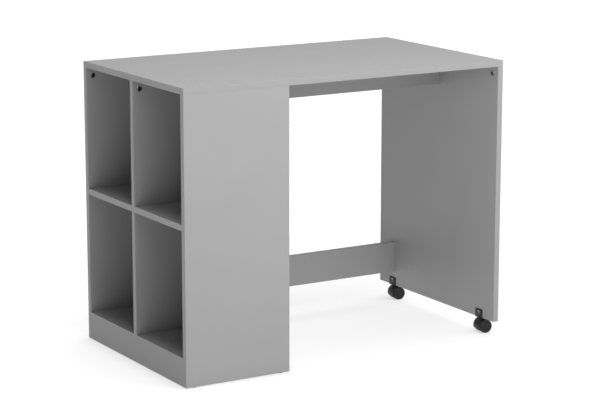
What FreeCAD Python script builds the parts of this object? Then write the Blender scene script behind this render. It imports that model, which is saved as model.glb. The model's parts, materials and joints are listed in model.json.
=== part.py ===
"""A pull-out desk with an open bookcase in its left end and two castors under its right side panel.

Every size is in millimetres. Places are given in desk coordinates: x from the desk's left face, y from its
front face, z from the floor. The model's own origin is on the floor in the middle of the whole object, castors
included, with +X to the desk's right, +Y to its back and +Z up.

The boards are joined with cam locks, dowels and confirmat screws. Each fastener is described once, in
fit_cam, fit_dowel, fit_confirmat or fit_glide, which drills both boards and places the fastener.
"""
import FreeCAD, Part
import math
import os
import re

import Sketcher
from FreeCAD import Placement, Rotation, Vector

SIZES = {
    # the whole desk
    "desk_width": 960,
    "desk_depth": 560,
    "desk_height": 758,
    "origin_x": 488,          # desk x of the origin: half the desk's width and the castors' overhang
    "board": 16,              # thickness of every board
    "edge_radius": 0.4,       # eased edge of every board
    # bookcase
    "bookcase_width": 300,
    "glide_height": 2,        # gap under the bookcase's boards
    "base_top": 76,
    "shelf_z": 401,           # underside of the two shelves
    # rails and side panel
    "upper_rail_height": 82,
    "lower_rail_y": 484,
    "lower_rail_z": 84,
    "lower_rail_height": 87,
    "side_panel_z": 43,       # underside of the right side panel
    # cam locks and their bolts
    "cam_diameter": 15,
    "cam_length": 12.2,
    "cam_bore_depth": 12.5,
    "cam_gap": 0.1,           # radial gap between a cam lock and its bore
    "cam_head_height": 2.6,   # the cam lock's button head stands proud of the board
    "cam_head_round": 2.2,
    "cam_to_edge": 21,        # from the cam's centre to the board's edge
    "cam_inset": 18.5,        # from the bookcase's left face to the first row of cams
    "cam_row": 265,           # from the bookcase's left face to the second row
    "side_cam_inset": 24.5,   # from the side panel's front and back edges
    "bolt_bore": 8,
    "bolt_shank": 5,
    "bolt_head": 7,
    "thread_diameter": 6.8,
    "thread_length": 10.5,
    "thread_bore": 7,
    # dowels
    "dowel_diameter": 8,
    "dowel_bore": 8.2,
    "dowel_long_end": 20,     # in the edge of one board
    "dowel_short_end": 10,    # in the face of the other
    "dowel_spare": 0.5,       # depth left empty behind each end
    "dowel_chamfer": 1,
    # confirmat screws
    "screw_shank": 7,
    "screw_core": 5,
    "screw_head": 10,
    "screw_head_height": 3,
    "screw_length": 50,
    "screw_gap": 0.1,
    "hex_socket": 4,
    "hex_depth": 2.5,
    # glides
    "glide_diameter": 14,
    "nail_diameter": 2,
    "nail_length": 12,
    # castors, in each castor's own frame: z from the floor, x along the trail
    "castor_x": 948,          # kingpin axis
    "front_castor_y": 65,
    "rear_castor_y": 492,
    "castor_angle": 7,        # how far each castor is turned at rest, in degrees
    "castor_trail": 8.5,      # from the kingpin axis to the axle
    "wheel_radius": 18.5,
    "wheel_outside": 18,      # from the castor's middle to a wheel's outer face
    "wheel_inside": 5.8,      # from the castor's middle to a wheel's inner edge
    "tread_round": 1.2,
    "rim_inner_radius": 15.6,
    "rim_face_radius": 14.9,
    "wheel_web": 14.6,        # inner side of the wheel's disc
    "wheel_dish": 0.9,        # how far the disc lies behind the rim's face
    "hub_radius": 4.5,
    "wheel_bore_radius": 2.05,
    "wheel_bore_end": 15.6,
    "axle_radius": 2,
    "axle_half_length": 15.3,
    "hood_outer_radius": 20.3,
    "hood_inner_radius": 19.1,
    "hood_start": 66,         # degrees above the trail side
    "hood_end": 204,
    "fork_web": 5,
    "fork_hub_radius": 5.5,
    "well_inside": 5.2,       # inner wall of the wheel wells in the fork
    "pad_radius": 8,
    "pad_bottom": 30,
    "fork_top": 40.6,
    "boss_radius": 4.9,
    "boss_bottom": 22,
    "kingpin_radius": 2.5,
    "kingpin_gap": 0.05,
    "kingpin_bottom": 23.5,
    "kingpin_head_radius": 4.4,
    "ring_z": 26,
    "ring_thickness": 0.8,
    "ring_outer_radius": 3.4,
    "ring_groove_depth": 0.5,
    "ring_room_radius": 3.7,
    "washer_thickness": 0.35,
    "washer_radius": 7,
    "washer_gap": 0.1,
    "bracket_sheet": 2,
    "bracket_width": 31,
    "bracket_rise": 23,       # height of the upright leg above the side panel's underside
    "bracket_reach": 16,      # how far the flat leg reaches under the side panel
    "bracket_corner": 3,
    "bracket_screw_x": 952,   # the countersunk screws, driven up through the flat leg
    "bracket_screw_spread": 12,
    "pan_screw_z": 56,        # the pan-head screw, driven through the upright leg
    "pan_head": 12,
    "pan_head_height": 2.6,
    "pan_head_round": 1.9,
    "small_screw_head": 7,
    "small_screw_shank": 3.5,
    "small_screw_length": 14,
    "small_screw_head_height": 1.8,
}

BOARDS = {
    # name: (corner nearest the desk's left, front and floor), (size along x, y and z)
    "desktop": (
        ("0", "0", "desk_height - board"),
        ("desk_width", "desk_depth", "board")),
    "bookcase_front_panel": (
        ("0", "0", "glide_height"),
        ("bookcase_width", "board", "desk_height - board - glide_height")),
    "bookcase_back_panel": (
        ("0", "desk_depth - board", "glide_height"),
        ("bookcase_width", "board", "desk_height - board - glide_height")),
    "knee_side_panel": (
        ("bookcase_width - board", "board", "glide_height"),
        ("board", "desk_depth - 2 * board", "desk_height - board - glide_height")),
    "plinth": (
        ("0", "board", "glide_height"),
        ("board", "desk_depth - 2 * board", "base_top - glide_height")),
    "base_panel": (
        ("board", "board", "base_top - board"),
        ("bookcase_width - 2 * board", "desk_depth - 2 * board", "board")),
    "divider": (
        ("0", "(desk_depth - board) / 2", "base_top"),
        ("bookcase_width - board", "board", "desk_height - board - base_top")),
    "front_shelf": (
        ("0", "board", "shelf_z"),
        ("bookcase_width - board", "(desk_depth - 3 * board) / 2", "board")),
    "rear_shelf": (
        ("0", "(desk_depth + board) / 2", "shelf_z"),
        ("bookcase_width - board", "(desk_depth - 3 * board) / 2", "board")),
    "upper_rail": (
        ("bookcase_width", "(desk_depth - board) / 2", "desk_height - board - upper_rail_height"),
        ("desk_width - bookcase_width - board", "board", "upper_rail_height")),
    "lower_rail": (
        ("bookcase_width", "lower_rail_y", "lower_rail_z"),
        ("desk_width - bookcase_width - board", "board", "lower_rail_height")),
    "right_side_panel": (
        ("desk_width - board", "0", "side_panel_z"),
        ("board", "desk_depth", "desk_height - board - side_panel_z")),
}

# For each axis a bore can run along: the sketch plane, the two axes drawn on it, whether the pocket is
# reversed to cut towards +, and the sign of the plane's normal.
BORE_PLANES = {
    "x": ("YZ_Plane", "yz", True, ""),
    "y": ("XZ_Plane", "xz", False, "-"),
    "z": ("XY_Plane", "xy", True, ""),
}
DIRECTIONS = {
    "+x": Vector(1, 0, 0), "-x": Vector(-1, 0, 0),
    "+y": Vector(0, 1, 0), "-y": Vector(0, -1, 0),
    "+z": Vector(0, 0, 1), "-z": Vector(0, 0, -1),
}

doc = FreeCAD.newDocument("pull_out_desk")
sheet = doc.addObject("Spreadsheet::Sheet", "sizes")
bores = {name: {} for name in BOARDS}
copies = {}


# ---------------------------------------------------------------- sheet and expressions

def fill_sheet():
    for row, (alias, value) in enumerate(SIZES.items(), start=1):
        sheet.set(f"A{row}", alias)
        sheet.set(f"B{row}", str(value))
        sheet.setAlias(f"B{row}", alias)
    doc.recompute()


def bound(text):
    """The expression that reads each size named in the text from the sheet."""
    return re.sub(r"[a-z_]{2,}", lambda word: f"sizes.{word.group(0)}", text)


def bind(target, prop, text):
    target.setExpression(prop, bound(text))


def place(target, x, y, z):
    """Binds an object's place, given in desk coordinates, in the model's own frame."""
    bind(target, "Placement.Base.x", f"({x}) - origin_x")
    bind(target, "Placement.Base.y", f"({y}) - desk_depth / 2")
    bind(target, "Placement.Base.z", z)


# ---------------------------------------------------------------- sketches and features

def new_body(name):
    body = doc.addObject("PartDesign::Body", name)
    body.Label = name
    return body


def new_sketch(body, name, role, offset=None):
    sketch = body.newObject("Sketcher::SketchObject", f"{body.Name}_{name}")
    plane = next(part for part in body.Origin.OriginFeatures if part.Role == role)
    sketch.AttachmentSupport = [(plane, "")]
    sketch.MapMode = "FlatFace"
    if offset:
        bind(sketch, "AttachmentOffset.Base.z", offset)
    return sketch


def constrain(sketch, text, kind, *where):
    """A dimension of a sketch, bound to the sheet."""
    number = sketch.addConstraint(Sketcher.Constraint(kind, *where))
    bind(sketch, f"Constraints[{number}]", text)


def draw_rectangle(sketch, width, height):
    """A rectangle from the sketch's origin towards + on both axes."""
    corners = [Vector(0, 0, 0), Vector(9, 0, 0), Vector(9, 9, 0), Vector(0, 9, 0)]
    sides = []
    for start, end in zip(corners, corners[1:] + corners[:1]):
        sides.append(sketch.addGeometry(Part.LineSegment(start, end), False))
    for side, following in zip(sides, sides[1:] + sides[:1]):
        sketch.addConstraint(Sketcher.Constraint("Coincident", side, 2, following, 1))
    for side, kind in zip(sides, ("Horizontal", "Vertical", "Horizontal", "Vertical")):
        sketch.addConstraint(Sketcher.Constraint(kind, side))
    sketch.addConstraint(Sketcher.Constraint("Coincident", sides[0], 1, -1, 1))
    constrain(sketch, width, "DistanceX", sides[0], 1, sides[0], 2, 9)
    constrain(sketch, height, "DistanceY", sides[1], 1, sides[1], 2, 9)


def draw_circle(sketch, diameter, u="0", v="0"):
    circle = sketch.addGeometry(Part.Circle(Vector(1, 1, 0), Vector(0, 0, 1), 2), False)
    constrain(sketch, diameter, "Diameter", circle, 4)
    constrain(sketch, u, "DistanceX", -1, 1, circle, 3, 1)
    constrain(sketch, v, "DistanceY", -1, 1, circle, 3, 1)


def draw_outline(sketch, points):
    """A closed outline of straight lines through points whose two coordinates are bound to the sheet."""
    sides = []
    for number in range(len(points)):
        start = Vector(number, number * number, 0)
        following = (number + 1) % len(points)
        end = Vector(following, following * following, 0)
        sides.append(sketch.addGeometry(Part.LineSegment(start, end), False))
    for side, following in zip(sides, sides[1:] + sides[:1]):
        sketch.addConstraint(Sketcher.Constraint("Coincident", side, 2, following, 1))
    for side, (u, v) in zip(sides, points):
        constrain(sketch, u, "DistanceX", -1, 1, side, 1, 1)
        constrain(sketch, v, "DistanceY", -1, 1, side, 1, 1)


def pad(body, sketch, length, midplane=False):
    feature = body.newObject("PartDesign::Pad", f"{sketch.Name}_pad")
    feature.Profile = sketch
    feature.Midplane = midplane
    bind(feature, "Length", length)
    return feature


def pocket(body, sketch, length, reversed_=False, midplane=False):
    """A pocket that has to take material away."""
    doc.recompute()
    before = body.Shape.Volume
    feature = body.newObject("PartDesign::Pocket", f"{sketch.Name}_pocket")
    feature.Profile = sketch
    feature.Reversed = reversed_
    feature.Midplane = midplane
    bind(feature, "Length", length)
    doc.recompute()
    if feature.Shape.Volume > before - 1e-3:
        raise RuntimeError(f"{feature.Name} cuts nothing")
    return feature


def revolve(body, sketch, axis_role):
    feature = body.newObject("PartDesign::Revolution", f"{sketch.Name}_revolution")
    feature.Profile = sketch
    axis = next(part for part in body.Origin.OriginFeatures if part.Role == axis_role)
    feature.ReferenceAxis = (axis, [""])
    feature.Angle = 360
    return feature


def ease_all_edges(body, feature, radius):
    fillet = body.newObject("PartDesign::Fillet", f"{body.Name}_eased")
    fillet.Base = (feature, [""])
    fillet.UseAllEdges = True
    bind(fillet, "Radius", radius)
    return fillet


# ---------------------------------------------------------------- drilling and fasteners

def drill(board, axis, start, depth, diameter, point):
    """Notes a bore in a board, from start towards + on the axis, through a point in desk coordinates."""
    corner = dict(zip("xyz", BOARDS[board][0]))
    place_on_axis = f"({start}) - ({corner[axis]})"
    drawn = BORE_PLANES[axis][1]
    centre = tuple(f"({point['xyz'.index(a)]}) - ({corner[a]})" for a in drawn)
    bores[board].setdefault((axis, place_on_axis, depth, diameter), []).append(centre)


def drill_along(board, direction, origin, reach, depth, diameter, point):
    """A bore whose mouth is reach along the direction from origin, and that goes on for depth."""
    sign, axis = direction
    if sign == "+":
        start = f"({origin}) + ({reach})"
    else:
        start = f"({origin}) - ({reach}) - ({depth})"
    drill(board, axis, start, depth, diameter, point)


def opposite(direction):
    return ("-" if direction[0] == "+" else "+") + direction[1]


def add_copy(group, point, z_direction, x_direction):
    """Notes one more fastener: its own z and x axes lie along the two directions."""
    copies.setdefault(group, []).append((point, z_direction, x_direction))


def fit_cam(host, mate, centre, bolt_direction, face_direction):
    """A cam lock in the host's face and its bolt into the mate. The centre is halfway through the host."""
    bolt_axis, face_axis = bolt_direction[1], face_direction[1]
    along_face = centre["xyz".index(face_axis)]
    along_bolt = centre["xyz".index(bolt_axis)]
    into = opposite(face_direction)
    drill_along(host, into, along_face, "-board / 2", "cam_bore_depth", "cam_diameter", centre)
    drill_along(host, bolt_direction, along_bolt, "0", "cam_to_edge", "bolt_bore", centre)
    drill_along(mate, bolt_direction, along_bolt, "cam_to_edge", "thread_length + 0.5",
                "thread_bore", centre)
    sign, axis = face_direction
    mouth = list(centre)
    mouth["xyz".index(axis)] = f"({along_face}) {sign} board / 2"
    add_copy("cam_locks", tuple(mouth), face_direction, bolt_direction)
    add_copy("cam_bolts", centre, bolt_direction, face_direction)


def fit_dowel(edge_board, face_board, point, direction):
    """A dowel across the joint at the point: the direction leads from the edge into the face."""
    along = point["xyz".index(direction[1])]
    drill_along(edge_board, opposite(direction), along, "0", "dowel_long_end + dowel_spare",
                "dowel_bore", point)
    drill_along(face_board, direction, along, "0", "dowel_short_end + dowel_spare",
                "dowel_bore", point)
    side = "+x" if direction[1] != "x" else "+y"
    add_copy("dowels", point, direction, side)


def fit_confirmat(through_board, edge_board, point, direction):
    """A screw whose head is flush with the through board's face at the point."""
    along = point["xyz".index(direction[1])]
    drill_along(through_board, direction, along, "0", "board", "screw_shank + 2 * screw_gap", point)
    drill_along(through_board, direction, along, "0", "screw_head_height + screw_gap",
                "screw_head + 2 * screw_gap", point)
    drill_along(edge_board, direction, along, "board", "screw_length - board + 0.5",
                "screw_core + 2 * screw_gap", point)
    side = "+x" if direction[1] != "x" else "+y"
    add_copy("confirmat_screws", point, direction, side)


def fit_glide(board, x, y):
    point = (x, y, "glide_height")
    drill_along(board, "+z", "glide_height", "0", "nail_length + 0.5", "nail_diameter + 0.2", point)
    add_copy("glides", point, "+z", "+x")


def bracket_screws(castor_y):
    """Each screw of a castor's bracket: its group, where it starts and the direction it is driven in."""
    under = "side_panel_z - bracket_sheet"
    return [
        ("castor_pan_head_screws", ("desk_width - board - bracket_sheet", castor_y, "pan_screw_z"), "+x"),
        ("castor_countersunk_screws", ("bracket_screw_x", f"{castor_y} + bracket_screw_spread", under), "+z"),
        ("castor_countersunk_screws", ("bracket_screw_x", f"{castor_y} - bracket_screw_spread", under), "+z"),
    ]


def fit_bracket_screws(castor_y):
    for group, point, direction in bracket_screws(castor_y):
        along = point["xyz".index(direction[1])]
        drill_along("right_side_panel", direction, along, "bracket_sheet", "small_screw_length - 1",
                    "small_screw_shank + 0.1", point)
        add_copy(group, point, direction, "+y" if direction == "+x" else "+x")


def fit_all():
    """Every fastener that joins the boards, the castors' screws and the glides."""
    top = "desk_height - board"
    cam_z = "desk_height - board - cam_to_edge"
    front_y, middle_y, back_y = "board / 2", "desk_depth / 2", "desk_depth - board / 2"
    knee_x, right_x = "bookcase_width - board / 2", "desk_width - board / 2"
    base_z, shelf_mid_z = "base_top - board / 2", "shelf_z + board / 2"

    for x in ("cam_inset", "cam_row"):
        fit_cam("bookcase_front_panel", "desktop", (x, front_y, cam_z), "+z", "+y")
        fit_cam("divider", "desktop", (x, middle_y, cam_z), "+z", "-y")
        fit_cam("bookcase_back_panel", "desktop", (x, back_y, cam_z), "+z", "-y")
    for y in ("side_cam_inset", "desk_depth - side_cam_inset"):
        fit_cam("right_side_panel", "desktop", (right_x, y, cam_z), "+z", "-x")
    for x in ("60", "220"):
        fit_dowel("bookcase_front_panel", "desktop", (x, front_y, top), "+z")
        fit_dowel("bookcase_back_panel", "desktop", (x, back_y, top), "+z")
        fit_dowel("divider", "desktop", (x, middle_y, top), "+z")
        fit_dowel("divider", "base_panel", (x, middle_y, "base_top"), "-z")
    for y in ("150", "410"):
        fit_dowel("knee_side_panel", "desktop", (knee_x, y, top), "+z")
        fit_dowel("right_side_panel", "desktop", (right_x, y, top), "+z")
        fit_dowel("base_panel", "plinth", ("board", y, base_z), "-x")
    for z in ("20", "46"):
        fit_dowel("plinth", "bookcase_front_panel", ("board / 2", "board", z), "-y")
        fit_dowel("plinth", "bookcase_back_panel", ("board / 2", "desk_depth - board", z), "+y")

    shelf_front = "board + cam_to_edge"
    for x in ("50", "235"):
        fit_cam("front_shelf", "bookcase_front_panel", (x, shelf_front, shelf_mid_z), "-y", "-z")
        fit_cam("base_panel", "bookcase_front_panel", (x, shelf_front, base_z), "-y", "-z")
        fit_confirmat("bookcase_back_panel", "rear_shelf", (x, "desk_depth", shelf_mid_z), "-y")
        fit_confirmat("bookcase_back_panel", "base_panel", (x, "desk_depth", base_z), "-y")
    for x in ("70", "200"):
        fit_dowel("front_shelf", "divider", (x, "(desk_depth - board) / 2", shelf_mid_z), "+y")
        fit_dowel("rear_shelf", "divider", (f"{x} + 20", "(desk_depth + board) / 2", shelf_mid_z), "-y")
    for z in ("150", "600"):
        fit_cam("knee_side_panel", "bookcase_front_panel", (knee_x, shelf_front, z), "-y", "+x")
        fit_confirmat("bookcase_back_panel", "knee_side_panel", (knee_x, "desk_depth", z), "-y")
        fit_confirmat("knee_side_panel", "divider", ("bookcase_width", middle_y, f"{z} + 30"), "-x")
    for y in ("144", "416"):
        shelf = "front_shelf" if y == "144" else "rear_shelf"
        fit_confirmat("knee_side_panel", shelf, ("bookcase_width", y, shelf_mid_z), "-x")
        fit_confirmat("knee_side_panel", "base_panel", ("bookcase_width", y, base_z), "-x")

    rails = (("upper_rail", middle_y, f"{top} - upper_rail_height / 2"),
             ("lower_rail", "lower_rail_y + board / 2", "lower_rail_z + lower_rail_height / 2"))
    for rail, y, z in rails:
        left_cam = ("bookcase_width + cam_to_edge", y, z)
        right_cam = ("desk_width - board - cam_to_edge", y, z)
        fit_cam(rail, "knee_side_panel", left_cam, "-x", "+y")
        fit_cam(rail, "right_side_panel", right_cam, "+x", "+y")
        for dowel_z in (f"{z} - 26", f"{z} + 26"):
            fit_dowel(rail, "knee_side_panel", ("bookcase_width", y, dowel_z), "-x")
            fit_dowel(rail, "right_side_panel", ("desk_width - board", y, dowel_z), "+x")

    for castor_y in ("front_castor_y", "rear_castor_y"):
        fit_bracket_screws(castor_y)
    for x in ("25", "bookcase_width - 25"):
        fit_glide("bookcase_front_panel", x, front_y)
        fit_glide("bookcase_back_panel", x, back_y)


# ---------------------------------------------------------------- boards

def make_board(name):
    corner, (length_x, length_y, length_z) = BOARDS[name]
    body = new_body(name)
    outline = new_sketch(body, "outline", "XY_Plane")
    draw_rectangle(outline, length_x, length_y)
    eased = ease_all_edges(body, pad(body, outline, length_z), "edge_radius")
    body.Tip = eased
    for number, ((axis, start, depth, diameter), centres) in enumerate(bores[name].items(), start=1):
        role, _, reversed_, sign = BORE_PLANES[axis]
        sketch = new_sketch(body, f"bore_{number}", role, f"{sign}({start})")
        for u, v in centres:
            draw_circle(sketch, diameter, u, v)
        pocket(body, sketch, depth, reversed_)
    place(body, *corner)
    return body


# ---------------------------------------------------------------- fasteners

def cut_cross(body, top, length, width, depth, reversed_=False):
    """A cross recess for a screwdriver, from the height top down, or up when reversed."""
    for name, (along, across) in {"slot_a": (length, width), "slot_b": (width, length)}.items():
        slot = new_sketch(body, name, "XY_Plane", top)
        half_x, half_y = f"({along}) / 2", f"({across}) / 2"
        draw_outline(slot, [(f"-{half_x}", f"-{half_y}"), (half_x, f"-{half_y}"),
                            (half_x, half_y), (f"-{half_x}", half_y)])
        pocket(body, slot, depth, reversed_)


def round_rim(body, turned, face_z, width, radius):
    """Rounds the outer edge of a turned head, whose flat face is at the height face_z."""
    doc.recompute()
    rim = []
    for number, edge in enumerate(turned.Shape.Edges, start=1):
        box = edge.BoundBox
        flat = abs(box.ZMin - face_z) < 1e-6 and abs(box.ZMax - face_z) < 1e-6
        if flat and box.XLength > width - 1e-3:
            rim.append(f"Edge{number}")
    rounded = body.newObject("PartDesign::Fillet", f"{body.Name}_rounded")
    rounded.Base = (turned, rim)
    bind(rounded, "Radius", radius)


def make_cam_lock():
    """A cam lock: its rounded head stands out of the board's face at z = 0 and its bolt's mouth is towards +x."""
    body = new_body("cam_lock")
    profile = new_sketch(body, "profile", "XZ_Plane")
    drum = "cam_diameter / 2 - cam_gap"
    draw_outline(profile, [
        ("0", "-cam_length"), (drum, "-cam_length"), (drum, "cam_head_height"), ("0", "cam_head_height")])
    turned = revolve(body, profile, "Z_Axis")
    round_rim(body, turned, SIZES["cam_head_height"], SIZES["cam_diameter"] - 2 * SIZES["cam_gap"], "cam_head_round")
    mouth = new_sketch(body, "mouth", "YZ_Plane", "-2")
    draw_circle(mouth, "bolt_head + 0.8", "0", "-board / 2")
    pocket(body, mouth, "cam_diameter", True)
    cut_cross(body, "cam_head_height", "7", "1.6", "2.5")
    return body


def make_cam_bolt():
    """A cam bolt along +z: its head is at the cam's centre and its thread in the other board."""
    body = new_body("cam_bolt")
    profile = new_sketch(body, "profile", "XZ_Plane")
    draw_outline(profile, [
        ("0", "-1.5"), ("bolt_head / 2", "-1.5"), ("bolt_head / 2", "1.5"), ("bolt_shank / 2 - 1", "1.5"),
        ("bolt_shank / 2 - 1", "6"), ("bolt_shank / 2", "6"), ("bolt_shank / 2", "cam_to_edge"),
        ("thread_diameter / 2", "cam_to_edge"), ("thread_diameter / 2", "cam_to_edge + thread_length - 1.5"),
        ("1.5", "cam_to_edge + thread_length"), ("0", "cam_to_edge + thread_length")])
    revolve(body, profile, "Z_Axis")
    return body


def make_dowel():
    """A dowel along z, with the joint's face at z = 0 and its longer end below it."""
    body = new_body("dowel")
    profile = new_sketch(body, "profile", "XZ_Plane")
    radius = "dowel_diameter / 2"
    draw_outline(profile, [
        ("0", "-dowel_long_end"), (f"{radius} - dowel_chamfer", "-dowel_long_end"),
        (radius, "dowel_chamfer - dowel_long_end"), (radius, "dowel_short_end - dowel_chamfer"),
        (f"{radius} - dowel_chamfer", "dowel_short_end"), ("0", "dowel_short_end")])
    revolve(body, profile, "Z_Axis")
    return body


def make_confirmat():
    """A confirmat screw along +z from its flush head at z = 0, with a hexagon socket."""
    body = new_body("confirmat_screw")
    profile = new_sketch(body, "profile", "XZ_Plane")
    draw_outline(profile, [
        ("0", "0"), ("screw_head / 2", "0"), ("screw_head / 2", "1"), ("screw_shank / 2", "screw_head_height"),
        ("screw_shank / 2", "board - 1.5"), ("screw_core / 2", "board - 0.5"),
        ("screw_core / 2", "screw_length - 4"), ("0.8", "screw_length"), ("0", "screw_length")])
    revolve(body, profile, "Z_Axis")
    hexagon = new_sketch(body, "socket", "XY_Plane")
    points = []
    for corner in range(6):
        across = math.cos(math.radians(60 * corner)) / math.cos(math.radians(30)) / 2
        up = math.sin(math.radians(60 * corner)) / math.cos(math.radians(30)) / 2
        points.append((f"{across:.5f} * hex_socket", f"{up:.5f} * hex_socket"))
    draw_outline(hexagon, points)
    pocket(body, hexagon, "hex_depth", True)
    return body


def make_glide():
    """A nail-on glide: a domed foot below z = 0 and a nail above it."""
    body = new_body("glide")
    profile = new_sketch(body, "profile", "XZ_Plane")
    draw_outline(profile, [
        ("0", "-glide_height"), ("glide_diameter / 2 - 1", "-glide_height"),
        ("glide_diameter / 2", "0.8 - glide_height"), ("glide_diameter / 2", "0"),
        ("nail_diameter / 2", "0"), ("nail_diameter / 2", "nail_length - 2"), ("0", "nail_length")])
    revolve(body, profile, "Z_Axis")
    return body


def make_countersunk_screw():
    """A countersunk screw along +z from its flush head at z = 0, with a cross recess."""
    body = new_body("countersunk_screw")
    profile = new_sketch(body, "profile", "XZ_Plane")
    draw_outline(profile, [
        ("0", "0"), ("small_screw_head / 2", "0"), ("small_screw_shank / 2", "small_screw_head_height"),
        ("small_screw_shank / 2", "small_screw_length - 3"), ("0", "small_screw_length")])
    revolve(body, profile, "Z_Axis")
    cut_cross(body, "0", "3.6", "0.9", "1.1", True)
    return body


def make_pan_head_screw():
    """A screw along +z whose wide, rounded head stands below z = 0, with a cross recess."""
    body = new_body("pan_head_screw")
    profile = new_sketch(body, "profile", "XZ_Plane")
    draw_outline(profile, [
        ("0", "-pan_head_height"), ("pan_head / 2", "-pan_head_height"), ("pan_head / 2", "0"),
        ("small_screw_shank / 2", "0"), ("small_screw_shank / 2", "small_screw_length - 3"),
        ("0", "small_screw_length")])
    turned = revolve(body, profile, "Z_Axis")
    round_rim(body, turned, -SIZES["pan_head_height"], SIZES["pan_head"], "pan_head_round")
    cut_cross(body, "-pan_head_height", "5", "1.1", "1.6", True)
    return body


def make_group(name, master):
    """All the copies of one fastener, as separate solids under one label."""
    links = []
    for number, (point, z_direction, x_direction) in enumerate(copies[name], start=1):
        z_axis, x_axis = DIRECTIONS[z_direction], DIRECTIONS[x_direction]
        link = doc.addObject("App::Link", f"{name}_{number}")
        link.LinkedObject = master
        link.Placement = Placement(Vector(), Rotation(x_axis, z_axis.cross(x_axis), z_axis, "ZXY"))
        place(link, *point)
        links.append(link)
    group = doc.addObject("Part::Compound", name)
    group.Label = name
    group.Links = links
    return group


# ---------------------------------------------------------------- castors

def polar(radius, degrees):
    """A point around the axle, in the castor's own x and z."""
    turn = math.radians(degrees)
    return (f"castor_trail + ({radius}) * {math.cos(turn):.6f}", f"wheel_radius + ({radius}) * {math.sin(turn):.6f}")


def draw_arc_band(sketch, inner, outer, start_deg, end_deg):
    """A band between two arcs around the axle, closed by two straight ends."""
    centre = Vector(SIZES["castor_trail"], SIZES["wheel_radius"], 0)
    turns = (math.radians(start_deg), math.radians(end_deg))
    arcs = []
    for radius in (SIZES[inner], SIZES[outer]):
        circle = Part.Circle(centre, Vector(0, 0, 1), radius)
        arcs.append(sketch.addGeometry(Part.ArcOfCircle(circle, *turns), False))
    ends = []
    for number, turn in enumerate(turns, start=1):
        tip = [centre + Vector(math.cos(turn), math.sin(turn), 0) * SIZES[size] for size in (inner, outer)]
        line = sketch.addGeometry(Part.LineSegment(*tip), False)
        for arc, end in zip(arcs, (1, 2)):
            sketch.addConstraint(Sketcher.Constraint("Coincident", arc, number, line, end))
        ends.append(line)
    for arc, size in zip(arcs, (inner, outer)):
        constrain(sketch, size, "Radius", arc, SIZES[size])
        constrain(sketch, "castor_trail", "DistanceX", -1, 1, arc, 3, centre.x)
        constrain(sketch, "wheel_radius", "DistanceY", -1, 1, arc, 3, centre.y)
    for number, line in enumerate(ends):
        u, v = polar(outer, (start_deg, end_deg)[number])
        constrain(sketch, u, "DistanceX", -1, 1, line, 2, centre.x)
        inner_u, _ = polar(inner, (start_deg, end_deg)[number])
        constrain(sketch, inner_u, "DistanceX", -1, 1, line, 1, centre.x)


def place_castor(body, castor_y, along="0", height="0", turned=0):
    """Puts a castor's piece along the trail from the kingpin, with the castor turned to its rest angle."""
    angle = -SIZES["castor_angle"]
    body.Placement = Placement(Vector(), Rotation(Vector(0, 0, 1), angle + turned))
    turn = math.radians(angle)
    place(body, f"castor_x + ({along}) * {math.cos(turn):.6f}",
          f"{castor_y} + ({along}) * {math.sin(turn):.6f}", height)


def make_fork(name, castor_y):
    """The castor's body: a web and hood between and over the wheels, under a round pad."""
    body = new_body(name)
    start, end = SIZES["hood_start"], SIZES["hood_end"]

    hood = new_sketch(body, "hood", "XZ_Plane")
    draw_arc_band(hood, "hood_inner_radius", "hood_outer_radius", start, end)
    pad(body, hood, "2 * wheel_outside", midplane=True)

    web = new_sketch(body, "web", "XZ_Plane")
    draw_arc_band(web, "fork_hub_radius", "hood_outer_radius", start, end)
    pad(body, web, "fork_web", midplane=True)

    hub = new_sketch(body, "hub", "XZ_Plane")
    draw_circle(hub, "2 * fork_hub_radius + 0.02", "castor_trail", "wheel_radius")
    pad(body, hub, "2 * well_inside", midplane=True)

    turret = new_sketch(body, "turret", "XY_Plane", "pad_bottom")
    draw_circle(turret, "2 * pad_radius")
    pad(body, turret, "fork_top - pad_bottom")

    boss = new_sketch(body, "boss", "XY_Plane", "boss_bottom")
    draw_circle(boss, "2 * boss_radius")
    pad(body, boss, "fork_top - boss_bottom")

    for side, sign, reversed_ in (("front", "", True), ("rear", "-", False)):
        well = new_sketch(body, f"{side}_well", "XZ_Plane", f"{sign}well_inside")
        draw_circle(well, "2 * hood_inner_radius", "castor_trail", "wheel_radius")
        pocket(body, well, "wheel_outside", reversed_)

    swivel_bore = new_sketch(body, "swivel_bore", "XY_Plane", "kingpin_bottom - 0.5")
    draw_circle(swivel_bore, "2 * (kingpin_radius + kingpin_gap)")
    pocket(body, swivel_bore, "desk_height", True)
    ring_room = new_sketch(body, "ring_room", "XY_Plane", "ring_z - 0.2")
    draw_circle(ring_room, "2 * ring_room_radius")
    pocket(body, ring_room, "ring_thickness + 0.4", True)
    axle_bore = new_sketch(body, "axle_bore", "XZ_Plane")
    draw_circle(axle_bore, "2 * axle_radius", "castor_trail", "wheel_radius")
    pocket(body, axle_bore, "4 * wheel_outside", midplane=True)
    place_castor(body, castor_y)
    return body


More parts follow.
